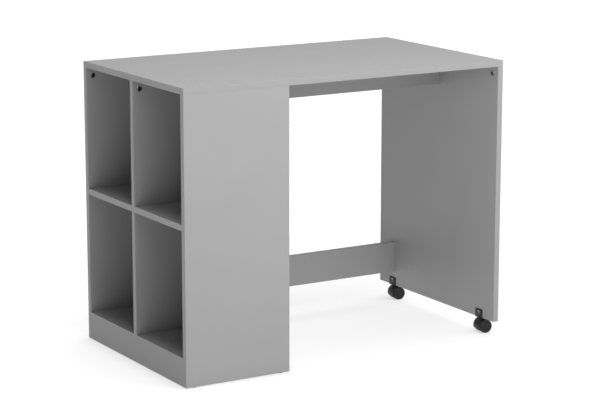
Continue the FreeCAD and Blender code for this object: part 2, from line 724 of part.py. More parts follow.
def make_wheel(name, castor_y, turned):
    """A moulded wheel: a rim and hub joined by a dished disc, closed on its outer side."""
    body = new_body(name)
    profile = new_sketch(body, "profile", "YZ_Plane")
    draw_outline(profile, [
        ("wheel_inside", "wheel_bore_radius"), ("wheel_inside", "hub_radius"),
        ("wheel_web", "hub_radius"), ("wheel_web", "rim_inner_radius"),
        ("wheel_inside", "rim_inner_radius"), ("wheel_inside", "wheel_radius - tread_round / 2"),
        ("wheel_inside + tread_round / 2", "wheel_radius"), ("wheel_outside - tread_round", "wheel_radius"),
        ("wheel_outside - 0.35 * tread_round", "wheel_radius - 0.35 * tread_round"),
        ("wheel_outside", "wheel_radius - tread_round"), ("wheel_outside", "rim_face_radius"),
        ("wheel_outside - wheel_dish", "rim_face_radius - 0.8"),
        ("wheel_outside - 0.6 * wheel_dish", "rim_face_radius / 2"),
        ("wheel_outside - wheel_dish / 2", "0"), ("wheel_bore_end", "0"),
        ("wheel_bore_end", "wheel_bore_radius")])
    revolve(body, profile, "Y_Axis")
    place_castor(body, castor_y, "castor_trail", "wheel_radius", turned)
    return body


def make_axle(name, castor_y):
    body = new_body(name)
    section = new_sketch(body, "section", "XZ_Plane")
    draw_circle(section, "2 * axle_radius")
    pad(body, section, "2 * axle_half_length", midplane=True)
    place_castor(body, castor_y, "castor_trail", "wheel_radius")
    return body


def make_kingpin(name, castor_y):
    """The swivel pin: a countersunk head in the bracket and a groove for the retaining ring."""
    body = new_body(name)
    profile = new_sketch(body, "profile", "XZ_Plane")
    neck = "kingpin_radius - ring_groove_depth"
    draw_outline(profile, [
        ("0", "kingpin_bottom"), ("kingpin_radius - 0.5", "kingpin_bottom"),
        ("kingpin_radius", "kingpin_bottom + 0.5"), ("kingpin_radius", "ring_z"), (neck, "ring_z"),
        (neck, "ring_z + ring_thickness"), ("kingpin_radius", "ring_z + ring_thickness"),
        ("kingpin_radius", "side_panel_z - bracket_sheet"), ("kingpin_head_radius", "side_panel_z"),
        ("0", "side_panel_z")])
    revolve(body, profile, "Z_Axis")
    place_castor(body, castor_y)
    return body


def make_flat_ring(name, castor_y, inner, outer, bottom, thickness):
    body = new_body(name)
    section = new_sketch(body, "section", "XY_Plane", bottom)
    draw_circle(section, f"2 * ({outer})")
    draw_circle(section, f"2 * ({inner})")
    pad(body, section, thickness)
    place_castor(body, castor_y)
    return body


def cone(name, point, lower, upper, height, direction):
    """A countersink as a tool, standing on the point and opening to the upper radius."""
    tool = doc.addObject("Part::Cone", name)
    tool.Placement = Placement(Vector(), Rotation(Vector(0, 0, 1), direction))
    place(tool, *point)
    bind(tool, "Radius1", lower)
    bind(tool, "Radius2", upper)
    bind(tool, "Height", height)
    return tool


def shaft(name, point, radius, height, direction):
    """A straight hole as a tool, from the point along the direction."""
    tool = doc.addObject("Part::Cylinder", name)
    tool.Placement = Placement(Vector(), Rotation(Vector(0, 0, 1), direction))
    place(tool, *point)
    bind(tool, "Radius", radius)
    bind(tool, "Height", height)
    return tool


def make_bracket(name, castor_y):
    """A sheet steel angle: an upright leg on the side panel's inner face and a flat leg under the panel."""
    angle = new_body(f"{name}_angle")
    profile = new_sketch(angle, "profile", "XZ_Plane")
    draw_outline(profile, [
        ("-bracket_sheet", "-bracket_sheet"), ("bracket_reach", "-bracket_sheet"), ("bracket_reach", "0"),
        ("0", "0"), ("0", "bracket_rise"), ("-bracket_sheet", "bracket_rise")])
    folded = pad(angle, profile, "bracket_width", midplane=True)
    doc.recompute()
    corners = []
    for number, edge in enumerate(folded.Shape.Edges, start=1):
        box = edge.BoundBox
        upright_end = abs(box.ZMin - box.ZMax) < 1e-6 and box.ZMin > SIZES["bracket_rise"] - 1e-6
        flat_end = abs(box.XMin - box.XMax) < 1e-6 and box.XMin > SIZES["bracket_reach"] - 1e-6
        across = abs(box.YMax - box.YMin) < 1e-6
        if (upright_end or flat_end) and across:
            corners.append(f"Edge{number}")
    rounded = angle.newObject("PartDesign::Fillet", f"{name}_corners")
    rounded.Base = (folded, corners)
    bind(rounded, "Radius", "bracket_corner")
    place(angle, "desk_width - board", castor_y, "side_panel_z")

    under = "side_panel_z - bracket_sheet"
    tools = [
        shaft(f"{name}_pin_hole", ("castor_x", castor_y, under), "kingpin_radius", "bracket_sheet",
              DIRECTIONS["+z"]),
        cone(f"{name}_pin_sink", ("castor_x", castor_y, under), "kingpin_radius", "kingpin_head_radius",
             "bracket_sheet", DIRECTIONS["+z"]),
    ]
    for number, (group, point, direction) in enumerate(bracket_screws(castor_y), start=1):
        tools.append(shaft(f"{name}_hole_{number}", point, "small_screw_shank / 2 + 0.05", "bracket_sheet",
                           DIRECTIONS[direction]))
        if group == "castor_countersunk_screws":
            tools.append(cone(f"{name}_sink_{number}", point, "small_screw_head / 2 + 0.05",
                              "small_screw_shank / 2 + 0.05", "small_screw_head_height",
                              DIRECTIONS[direction]))
    holes = doc.addObject("Part::MultiFuse", f"{name}_holes")
    holes.Shapes = tools
    bracket = doc.addObject("Part::Cut", name)
    bracket.Label = name
    bracket.Base = angle
    bracket.Tool = holes
    return bracket


def make_castor(prefix):
    castor_y = f"{prefix}_castor_y"
    name = f"{prefix}_castor"
    return [
        make_bracket(f"{name}_bracket", castor_y),
        make_kingpin(f"{name}_kingpin", castor_y),
        make_flat_ring(f"{name}_retaining_ring", castor_y, "kingpin_radius - ring_groove_depth",
                       "ring_outer_radius", "ring_z", "ring_thickness"),
        make_flat_ring(f"{name}_thrust_washer", castor_y, "kingpin_radius + washer_gap", "washer_radius",
                       "fork_top", "washer_thickness"),
        make_fork(f"{name}_fork", castor_y),
        make_axle(f"{name}_axle", castor_y),
        make_wheel(f"{name}_front_wheel", castor_y, 180),
        make_wheel(f"{name}_rear_wheel", castor_y, 0),
    ]


# ---------------------------------------------------------------- check and export

def check(nodes):
    doc.recompute()
    for thing in doc.Objects:
        if {"Invalid", "Error"} & set(thing.State):
            raise RuntimeError(f"{thing.Name} failed: {thing.State}")
    for node in nodes:
        if node.Shape.isNull() or not node.Shape.isValid() or not node.Shape.Solids:
            raise RuntimeError(f"{node.Label} has no valid solid")


def main():
    fill_sheet()
    fit_all()
    nodes = [make_board(name) for name in BOARDS]
    for prefix in ("front", "rear"):
        nodes += make_castor(prefix)
    masters = {
        "cam_locks": make_cam_lock, "cam_bolts": make_cam_bolt, "dowels": make_dowel,
        "confirmat_screws": make_confirmat, "glides": make_glide,
        "castor_countersunk_screws": make_countersunk_screw, "castor_pan_head_screws": make_pan_head_screw,
    }
    for group, make_master in masters.items():
        nodes.append(make_group(group, make_master()))
    check(nodes)
    os.makedirs("parts", exist_ok=True)
    for node in nodes:
        node.Shape.exportStep(f"parts/{node.Label}.step")
        print(f"{node.Label}: {len(node.Shape.Solids)} solid(s), {node.Shape.Volume / 1000:.1f} cm3")


main()
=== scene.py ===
"""The looks of the pull-out desk: matt grey melamine boards, black fittings and castors, a white studio.

Lengths are in metres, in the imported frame: +X to the desk's right, +Y to its back, +Z up. The boards, cam
bolts, dowels, glides, kingpins, rings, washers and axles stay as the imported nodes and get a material. The
wheels, hoods, angle plates, cam locks and screws are built here in finer detail, in the place of their nodes.
"""

import json
import math

import bmesh
import bpy
from mathutils import Matrix, Vector


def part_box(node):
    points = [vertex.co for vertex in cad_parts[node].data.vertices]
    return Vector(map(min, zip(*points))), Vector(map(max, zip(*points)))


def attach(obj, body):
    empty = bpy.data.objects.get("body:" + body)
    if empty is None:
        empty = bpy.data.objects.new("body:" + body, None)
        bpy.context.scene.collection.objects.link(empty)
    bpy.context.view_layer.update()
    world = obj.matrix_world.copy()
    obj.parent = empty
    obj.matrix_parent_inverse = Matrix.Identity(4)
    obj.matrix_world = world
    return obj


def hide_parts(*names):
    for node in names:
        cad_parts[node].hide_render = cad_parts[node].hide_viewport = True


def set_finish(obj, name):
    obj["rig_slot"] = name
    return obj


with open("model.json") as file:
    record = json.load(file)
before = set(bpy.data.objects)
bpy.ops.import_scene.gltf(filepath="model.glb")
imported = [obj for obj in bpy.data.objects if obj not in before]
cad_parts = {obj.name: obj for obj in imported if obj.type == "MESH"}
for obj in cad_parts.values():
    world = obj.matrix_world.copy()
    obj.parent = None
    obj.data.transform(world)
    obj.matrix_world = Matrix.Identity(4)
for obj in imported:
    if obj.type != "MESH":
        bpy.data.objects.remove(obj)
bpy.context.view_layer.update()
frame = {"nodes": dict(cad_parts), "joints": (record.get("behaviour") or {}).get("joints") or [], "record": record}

MM = 0.001
TINY = 1e-7
WELD_DISTANCE = TINY * 10
FULL_TURN = 2 * math.pi
ARC_STEPS = 4                         # in a rounded corner
BEND_STEPS = 8                        # in the bend of a castor's angle plate
HOOD_STEPS = 48
WHEEL_SEGMENTS = 128
SHARP_ANGLE = math.radians(32)
OVERCUT = 0.2 * MM                    # how far a cutter stands out of the face that it cuts
RECESS_TAPER = 0.75                   # a cross recess's size at its bottom, as a share of its top
HEAD_RIM = 0.97                       # a screw's points past this share of its widest radius are its head's
SLOTS = {part["node"]: part["material_slot"] for part in frame["record"]["subparts"]}
JOINTS = {joint["name"]: joint for joint in frame["joints"]}

CAMERA_AZIMUTH = math.radians(-30.98)
CAMERA_ELEVATION = math.radians(11.94)
CAMERA_DISTANCE = 5.705
CAMERA_TARGET = Vector((-0.0035, 0.0, 0.363))
CAMERA_LENS = 129.6
CAMERA_SENSOR = 36

BOARD_GREY = (0.36, 0.36, 0.36)
EDGE_BAND = 1.0 * MM
EDGE_TONE = 0.97                      # the edge band's colour as a share of the face's
EDGE_GLOSS = 0.07                     # how much less rough the edge band is
SEAM_HALF = 0.07 * MM
SEAM_DARKNESS = 0.22
GRAIN_SHIFT = (3.7, -1.9, 0.83)       # moves the grain from one board to the next

FLOOR_HALF = 40
FLOOR_ALBEDO = 0.3
FLOOR_ROUGHNESS = 0.9
FLOOR_GLOW = (0.756, 0.92)            # strength near FLOOR_SHADE and far from it
FLOOR_GLOW_REACH = (0.68, 1.25)       # how far from FLOOR_SHADE the glow starts and stops growing
FLOOR_SHADE = Vector((0.3, 0, 0))
# a painted contact shadow on the floor: its glow is dimmed where something covers it close by
CONTACT_REACH = 45 * MM
CONTACT_DEPTH = 0.3                   # the share of the glow that a corner loses where all is covered
ROOM_REFLECTION = 0.5                 # how bright the white room is in a reflection
SUN_SOFTNESS = math.radians(45)
SUNS = {
    # name: azimuth and elevation in degrees, strength
    "from_behind": (140, 70, 1.31),
    "from_the_right": (65, 20, 1.40),
}
SOFT_BOX_SIZE = 1.2
SOFT_BOX_TARGET = Vector((0, 0, 0.4))
SOFT_BOXES = {
    # name: distance, azimuth and elevation in degrees, watts
    "overhead": (3.6, -25, 75, 37),
    "front": (2.2, 25, 35, 15),
    "fill": (2.2, -25, 35, 9),
}


# ---------------------------------------------------------------- meshes

def link_object(name, mesh):
    piece = bpy.data.objects.new(name, mesh)
    bpy.context.scene.collection.objects.link(piece)
    return piece


def shade(mesh):
    """Smooth faces, with the edges sharper than SHARP_ANGLE kept sharp."""
    mesh.shade_smooth()
    mesh.set_sharp_from_angle(angle=SHARP_ANGLE)


def finish_mesh(name, bm):
    """An object from a closed bmesh."""
    bmesh.ops.recalc_face_normals(bm, faces=bm.faces)
    mesh = bpy.data.meshes.new(name)
    bm.to_mesh(mesh)
    bm.free()
    shade(mesh)
    return link_object(name, mesh)


def rounded(corners):
    """A closed outline: each corner (u, v, radius) whose radius isn't 0 becomes an arc."""
    outline = []
    for number, (u, v, radius) in enumerate(corners):
        here = Vector((u, v))
        if not radius:
            outline.append((u, v))
            continue
        to_before = (Vector(corners[number - 1][:2]) - here).normalized()
        to_after = (Vector(corners[(number + 1) % len(corners)][:2]) - here).normalized()
        half = to_before.angle(to_after) / 2
        centre = here + (to_before + to_after).normalized() * radius / math.sin(half)
        start = here + to_before * radius / math.tan(half) - centre
        end = here + to_after * radius / math.tan(half) - centre
        first = math.atan2(start.y, start.x)
        sweep = (math.atan2(end.y, end.x) - first + math.pi) % FULL_TURN - math.pi
        for step in range(ARC_STEPS + 1):
            turn = first + sweep * step / ARC_STEPS
            outline.append((centre.x + radius * math.cos(turn), centre.y + radius * math.sin(turn)))
    return outline


def join_rings(bm, first, second):
    """Faces between two rings of points. A ring of one point is a tip."""
    count = max(len(first), len(second))
    for number in range(count):
        following = (number + 1) % count
        corners = [first[number % len(first)], first[following % len(first)],
                   second[following % len(second)], second[number % len(second)]]
        corners = list(dict.fromkeys(corners))
        if len(corners) > 2:
            bm.faces.new(corners)


def lathe(name, outline, segments=72):
    """A solid turned about z.

    The outline's (radius, height) points run from axis to axis or close on themselves.
    """
    bm = bmesh.new()
    rings = []
    for radius, height in outline:
        if radius < TINY:
            rings.append([bm.verts.new((0, 0, height))])
            continue
        ring = []
        for number in range(segments):
            turn = FULL_TURN * number / segments
            ring.append(bm.verts.new((radius * math.cos(turn), radius * math.sin(turn), height)))
        rings.append(ring)
    for first, second in zip(rings, rings[1:]):
        join_rings(bm, first, second)
    if len(rings[0]) > 1:
        join_rings(bm, rings[-1], rings[0])
    return finish_mesh(name, bm)


def prism(name, outline, bottom, top):
    """A straight solid between two heights over an outline of (x, y) points."""
    bm = bmesh.new()
    lower = [bm.verts.new((x, y, bottom)) for x, y in outline]
    upper = [bm.verts.new((x, y, top)) for x, y in outline]
    join_rings(bm, lower, upper)
    bm.faces.new(lower)
    bm.faces.new(upper)
    return finish_mesh(name, bm)


def sweep_arc(name, section, start, end, steps):
    """A solid swept about z: the section's (radius, height) points go from one angle to the other."""
    bm = bmesh.new()
    rings = []
    for step in range(steps + 1):
        turn = start + (end - start) * step / steps
        rings.append([bm.verts.new((r * math.cos(turn), r * math.sin(turn), h)) for r, h in section])
    for first, second in zip(rings, rings[1:]):
        join_rings(bm, first, second)
    bm.faces.new(rings[0])
    bm.faces.new(rings[-1])
    return finish_mesh(name, bm)


def rectangle(low_u, low_v, high_u, high_v, radius=0):
    corners = [(low_u, low_v), (high_u, low_v), (high_u, high_v), (low_u, high_v)]
    return rounded([(u, v, radius) for u, v in corners])


def apply_modifiers(piece):
    """Bakes the piece's modifiers into its mesh."""
    graph = bpy.context.evaluated_depsgraph_get()
    mesh = bpy.data.meshes.new_from_object(piece.evaluated_get(graph))
    piece.modifiers.clear()
    piece.data = mesh
    shade(mesh)


def combine(piece, tool, operation):
    """Adds the tool to the piece or cuts it away, and removes the tool."""
    modifier = piece.modifiers.new("combine", "BOOLEAN")
    modifier.operation = operation
    modifier.object = tool
    modifier.solver = "EXACT"
    apply_modifiers(piece)
    bpy.data.objects.remove(tool)


def bevel(piece, width):
    """Rounds the sharp edges of the piece."""
    modifier = piece.modifiers.new("bevel", "BEVEL")
    modifier.width = width
    modifier.segments = 2
    modifier.limit_method = "ANGLE"
    modifier.angle_limit = SHARP_ANGLE
    apply_modifiers(piece)


def transform(piece, matrix):
    piece.data.transform(matrix)
    return piece


def copies(name, master, places):
    """One piece made of the master's mesh at each place. The master is removed."""
    bm = bmesh.new()
    for place in places:
        mesh = master.data.copy()
        mesh.transform(place)
        bm.from_mesh(mesh)
        bpy.data.meshes.remove(mesh)
    bpy.data.objects.remove(master)
    return finish_mesh(name, bm)


def basis(origin, x_axis, z_axis):
    """The placement whose x and z axes lie along the two directions."""
    z_axis = Vector(z_axis).normalized()
    x_axis = Vector(x_axis).normalized()
    y_axis = z_axis.cross(x_axis)
    turned = Matrix((x_axis, y_axis, z_axis)).transposed().to_4x4()
    return Matrix.Translation(origin) @ turned


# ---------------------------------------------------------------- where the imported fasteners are

def corners_of(points):
    low = Vector([min(point[axis] for point in points) for axis in range(3)])
    high = Vector([max(point[axis] for point in points) for axis in range(3)])
    return low, high


def solids_of(node):
    """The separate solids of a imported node, each as a list of points."""
    bm = bmesh.new()
    bm.from_mesh(frame["nodes"][node].data)
    bmesh.ops.remove_doubles(bm, verts=bm.verts, dist=WELD_DISTANCE)
    solids = []
    for start in bm.verts:
        if start.tag:
            continue
        start.tag = True
        found = [start]
        for vertex in found:
            for edge in vertex.link_edges:
                other = edge.other_vert(vertex)
                if not other.tag:
                    other.tag = True
                    found.append(other)
        solids.append([vertex.co.copy() for vertex in found])
    bm.free()
    return solids


def off_axis(point, middle, axis):
    """How far the point lies from the line through the middle along the axis."""
    offset = point - middle
    offset[axis] = 0
    return offset.length


def axis_of(points):
    """The axis of a turned solid, about which it is narrowest, and its middle."""
    low, high = corners_of(points)
    middle = (low + high) / 2
    axis = min(range(3), key=lambda number: max(off_axis(point, middle, number) for point in points))
    return axis, middle


def end_of(points, axis, middle, outward):
    """The middle of the solid's face at one end of its axis, and the way that face looks."""
    low, high = corners_of(points)
    face = middle.copy()
    face[axis] = high[axis] if outward > 0 else low[axis]
    facing = Vector((0, 0, 0))
    facing[axis] = outward
    return face, facing


def screw_places(node):
    """Each screw's place, with z out of its head. The head is the widest part of the screw."""
    places = []
    for points in solids_of(node):
        axis, middle = axis_of(points)
        widest = max(off_axis(point, middle, axis) for point in points)
        rim = [point[axis] for point in points if off_axis(point, middle, axis) > HEAD_RIM * widest]
        outward = 1 if sum(rim) / len(rim) > middle[axis] else -1
        head, facing = end_of(points, axis, middle, outward)
        side = (0, 0, 1) if abs(facing.z) < 0.5 else (1, 0, 0)
        places.append(basis(head, side, facing))
    return places


def cam_places():
    """Each cam lock's place: z out of its head and x towards its own bolt, which is nearer the far end."""
    bolts = [axis_of(points)[1] for points in solids_of("cam_bolts")]
    places = []
    for points in solids_of("cam_locks"):
        axis, middle = axis_of(points)
        nearest = min(bolts, key=lambda bolt: (bolt - middle).length)
        outward = math.copysign(1, middle[axis] - nearest[axis])
        head, facing = end_of(points, axis, middle, outward)
        along = nearest - middle
        along[axis] = 0
        places.append(basis(head, along, facing))
    return places


# ---------------------------------------------------------------- fasteners

def cut_cross(piece, length, width, depth):
    """A cross recess in the face at z = 0, narrower at its bottom."""
    for number in range(2):
        bm = bmesh.new()
        rings = []
        for height, scale in ((OVERCUT, 1.0), (-depth, RECESS_TAPER)):
            half_length, half_width = length / 2 * scale, width / 2 * scale
            outline = rectangle(-half_length, -half_width, half_length, half_width)
            rings.append([bm.verts.new((x, y, height)) for x, y in outline])
        join_rings(bm, *rings)
        for ring in rings:
            bm.faces.new(ring)
        tool = finish_mesh("recess", bm)
        transform(tool, Matrix.Rotation(number * math.pi / 2, 4, "Z"))
        combine(piece, tool, "DIFFERENCE")


def make_cam_lock_set():
    """Cam locks whose button head has a rounded edge, a cross recess and an arrow to the bolt."""
    radius, length, crown = 7.4 * MM, 14.8 * MM, 0.3 * MM
    outline = rounded([
        (0, -length, 0), (radius, -length, 0.3 * MM), (radius, -crown, 2.0 * MM), (0, 0, 0)])
    lock = lathe("cam_lock_master", outline, segments=64)
    cut_cross(lock, length=7.0 * MM, width=1.6 * MM, depth=2.5 * MM)
    arrow_tip, arrow_tail, arrow_half = 5.3 * MM, 4.2 * MM, 0.8 * MM
    arrow = prism("arrow", [(arrow_tip, 0), (arrow_tail, arrow_half), (arrow_tail, -arrow_half)],
                  bottom=-0.6 * MM, top=0.3 * MM)
    combine(lock, arrow, "DIFFERENCE")
    return copies("cam_lock_set", lock, cam_places())


def make_pan_head_set():
    """Wide low screws that hold the castors' upright legs."""
    head, height, shank, length, tip = 6.0 * MM, 2.6 * MM, 1.75 * MM, 16.6 * MM, 3 * MM
    rim, slope, crown = 0.75 * MM, 1.9 * MM, 0.3 * MM
    outline = rounded([
        (0, -length, 0), (shank, -length + tip, 0), (shank, -height, 0), (head, -height, 0.15 * MM),
        (head, -height + rim, 0.3 * MM), (head - slope, -crown, 1.6 * MM), (0, 0, 0)])
    screw = lathe("pan_head_master", outline)
    cut_cross(screw, length=5 * MM, width=1.1 * MM, depth=1.8 * MM)
    return copies("pan_head_screw_set", screw, screw_places("castor_pan_head_screws"))


def make_countersunk_set():
    """Flat-headed screws that hold the castors' flat legs from below."""
    head, shank, length, tip = 3.5 * MM, 1.75 * MM, 14 * MM, 3 * MM
    neck, land = 1.8 * MM, 0.15 * MM
    outline = rounded([
        (0, -length, 0), (shank, -length + tip, 0), (shank, -neck, 0),
        (head, -land, 0), (head, 0, 0.1 * MM), (0, 0, 0)])
    screw = lathe("countersunk_master", outline, segments=48)
    cut_cross(screw, length=3.6 * MM, width=0.9 * MM, depth=1.2 * MM)
    return copies("countersunk_screw_set", screw, screw_places("castor_countersunk_screws"))


def make_confirmat_set():
    """Confirmat screws: a flush head with a rounded edge and a hexagon socket."""
    head, shank, core, length = 5 * MM, 3.5 * MM, 2.5 * MM, 50 * MM
    tip_radius, tip, core_top, shank_bottom = 0.8 * MM, 4 * MM, 15.5 * MM, 14.5 * MM
    neck, land = 3 * MM, 1 * MM
    outline = rounded([
        (0, -length, 0), (tip_radius, -length, 0), (core, -length + tip, 0), (core, -core_top, 0),
        (shank, -shank_bottom, 0), (shank, -neck, 0), (head, -land, 0), (head, 0, 0.35 * MM), (0, 0, 0)])
    screw = lathe("confirmat_master", outline, segments=60)
    socket_width, socket_depth = 4 * MM, 2.5 * MM
    to_corner = socket_width / math.cos(math.pi / 6) / 2
    hexagon = []
    for corner in range(6):
        turn = FULL_TURN * corner / 6
        hexagon.append((to_corner * math.cos(turn), to_corner * math.sin(turn)))
    combine(screw, prism("socket", hexagon, -socket_depth, OVERCUT), "DIFFERENCE")
    return copies("confirmat_screw_set", screw, screw_places("confirmat_screws"))


# ---------------------------------------------------------------- castors

class Castor:
    """The places and sizes of one castor, read from the frame."""

    def __init__(self, prefix):
        self.name = f"{prefix}_castor"
        spin = JOINTS[f"{self.name}_front_wheel_spin"]
        turn = JOINTS[f"{self.name}_turn"]
        self.axle = Vector(spin["pos_m"])
        self.axle_direction = Vector(spin["axis"])
        self.pin = Vector(turn["pos_m"])
        self.pin.z = 0
        low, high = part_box(f"{self.name}_front_wheel")
        self.wheel_radius = (high.z - low.z) / 2
        self.trail = self.axle_direction.cross(Vector((0, 0, 1)))
        self.pin_along = (self.pin - self.axle).dot(self.trail)

    def axle_frame(self, outward):
        """Origin in the castor's middle on the axle, z along the axle, x along the trail."""
        z_axis = self.axle_direction * outward
        return basis(self.axle, self.trail, z_axis)


def make_wheel(castor, side, outward):
    """A moulded wheel: crowned tread, a rim round a dished disc and a low boss in its middle."""
    radius = castor.wheel_radius
    inside, outside, web = 5.8 * MM, 18.0 * MM, 14.6 * MM
    rim, hub, bore = 15.6 * MM, 4.5 * MM, 2.05 * MM
    face = 14.9 * MM
    dish = 0.9 * MM
    boss = 3.6 * MM
    crown = 0.15 * MM
    bore_end = 15.6 * MM
    outline = rounded([
        (bore, inside, 0.2 * MM), (hub, inside, 0.2 * MM), (hub, web, 0.5 * MM), (rim, web, 0.5 * MM),
        (rim, inside, 0.3 * MM), (radius - crown, inside, 0.6 * MM), (radius, (inside + outside) / 2, 0),
        (radius - crown, outside, 1.1 * MM), (face, outside, 0.35 * MM),
        (face - 0.7 * MM, outside - dish, 0.35 * MM),
        (boss + 0.8 * MM, outside - 0.55 * dish, 0.3 * MM), (boss, outside - 0.3 * dish, 0.2 * MM),
        (0, outside - 0.25 * dish, 0), (0, bore_end, 0), (bore, bore_end, 0)])
    name = f"{castor.name}_{side}_wheel"
    wheel = lathe(f"{name}_moulding", outline, WHEEL_SEGMENTS)
    ribs, rib_half, overlap, recess = 8, 0.6 * MM, 0.4 * MM, 2.5 * MM
    for number in range(ribs):
        footprint = rectangle(hub - overlap, -rib_half, rim + overlap, rib_half)
        rib = prism("rib", footprint, bottom=inside + recess, top=web + 0.5 * MM)
        transform(rib, Matrix.Rotation(FULL_TURN * number / ribs, 4, "Z"))
        combine(wheel, rib, "UNION")
    wheel.matrix_world = castor.axle_frame(outward)
    return finish_piece(wheel, f"{castor.name}_{side}_roll", name)


def make_fork(castor):
    """The castor's moulded body: a hood over both wheels, a web between them and a round turret on top."""
    hood_inner, hood_outer, half_width = 19.1 * MM, 20.3 * MM, 18 * MM
    start, end = math.radians(66), math.radians(204)
    hood = rectangle(hood_inner, -half_width, hood_outer, half_width, 0.45 * MM)
    fork = sweep_arc(f"{castor.name}_hood", hood, start, end, HOOD_STEPS)
    web_half = 2.5 * MM
    web = rectangle(3 * MM, -web_half, hood_inner + 0.5 * MM, web_half)
    combine(fork, sweep_arc("web", web, start, end, HOOD_STEPS), "UNION")
    hub_bore, hub_radius, hub_half = 2 * MM, 5.5 * MM, 5.2 * MM
    hub = rounded([(hub_bore, -hub_half, 0), (hub_radius, -hub_half, 0.3 * MM),
                   (hub_radius, hub_half, 0.3 * MM), (hub_bore, hub_half, 0)])
    combine(fork, lathe("hub", hub), "UNION")
    turret_top = 40.6 * MM            # above the floor
    top = turret_top - castor.axle.z
    upright = Matrix.Translation((castor.pin_along, 0, 0)) @ Matrix.Rotation(-math.pi / 2, 4, "X")
    for part, radius, bottom in (("turret", 8.0 * MM, 33 * MM), ("boss", 4.9 * MM, 22 * MM)):
        shape = rounded([(0, bottom - castor.axle.z, 0), (radius, bottom - castor.axle.z, 0),
                         (radius, top, 0.5 * MM), (0, top, 0)])
        combine(fork, transform(lathe(part, shape), upright), "UNION")
    well, well_start, well_end = hood_inner - 0.01 * MM, 5.3 * MM, 30 * MM
    for side in (-1, 1):
        near, far = well_start * side, well_end * side
        outline = [(0, near), (well, near), (well, far), (0, far)]
        combine(fork, lathe("well", outline, WHEEL_SEGMENTS), "DIFFERENCE")
    fork.matrix_world = castor.axle_frame(-1)
    return finish_piece(fork, f"{castor.name}_swivel", f"{castor.name}_fork")


def make_bracket(castor):
    """The sheet steel angle: bent with a small radius, with rounded corners, eased edges and screw holes."""
    node = f"{castor.name}_bracket"
    low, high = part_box(node)
    sheet, corner, inner = 2 * MM, 3 * MM, 0.4 * MM
    middle_radius = inner + sheet / 2
    bend = Vector((low.x + sheet + inner, low.z + sheet + inner))
    half_width = (high.y - low.y) / 2
    middle_y = (high.y + low.y) / 2
    rows = []
    for step in range(ARC_STEPS + 1):
        turn = math.pi / 2 * step / ARC_STEPS
        rows.append((bend.x - middle_radius, high.z - corner * (1 - math.cos(turn)),
                     half_width - corner * (1 - math.sin(turn))))
    rows.sort(key=lambda row: -row[1])
    for step in range(BEND_STEPS + 1):
        turn = math.pi + math.pi / 2 * step / BEND_STEPS
        rows.append((bend.x + middle_radius * math.cos(turn), bend.y + middle_radius * math.sin(turn),
                     half_width))
    for step in range(ARC_STEPS + 1):
        turn = math.pi / 2 * step / ARC_STEPS
        rows.append((high.x - corner * (1 - math.sin(turn)), bend.y - middle_radius,
                     half_width - corner * (1 - math.cos(turn))))
    bm = bmesh.new()
    lines = []
    for x, z, reach in rows:
        lines.append([bm.verts.new((x, middle_y - reach, z)), bm.verts.new((x, middle_y + reach, z))])
    for first, second in zip(lines, lines[1:]):
        bm.faces.new((first[0], first[1], second[1], second[0]))
    bracket = finish_mesh(f"{castor.name}_angle_plate", bm)
    solidify = bracket.modifiers.new("sheet", "SOLIDIFY")
    solidify.thickness = sheet
    solidify.offset = 0
    solidify.use_even_offset = True
    apply_modifiers(bracket)
    cut_holes(bracket, castor)
    bevel(bracket, 0.22 * MM)
    return finish_piece(bracket, "carcass", node)


def cut_holes(bracket, castor):
    """A hole for the pan-head screw and a countersink for each of the two screws from below."""
    bottom, sink_depth, top, reach = -12 * MM, 1.9 * MM, 1 * MM, 20 * MM
    for node, radius, sink in (("castor_pan_head_screws", 1.9 * MM, 1.9 * MM),
                               ("castor_countersunk_screws", 1.8 * MM, 3.7 * MM)):
        for place in screw_places(node):
            if abs(place.translation.y - castor.pin.y) > reach:
                continue
            outline = [(0, bottom), (radius, bottom), (radius, -sink_depth), (sink, 0), (sink, top), (0, top)]
            combine(bracket, transform(lathe("hole", outline, segments=40), place), "DIFFERENCE")


def make_castor(prefix):
    castor = Castor(prefix)
    wheels = [make_wheel(castor, "front", -1), make_wheel(castor, "rear", 1)]
    return [*wheels, make_fork(castor), make_bracket(castor)]


def finish_piece(piece, body, node):
    """The piece rides on the body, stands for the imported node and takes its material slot."""
    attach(piece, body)
    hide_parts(node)
    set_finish(piece, SLOTS[node])
    return piece


# ---------------------------------------------------------------- materials

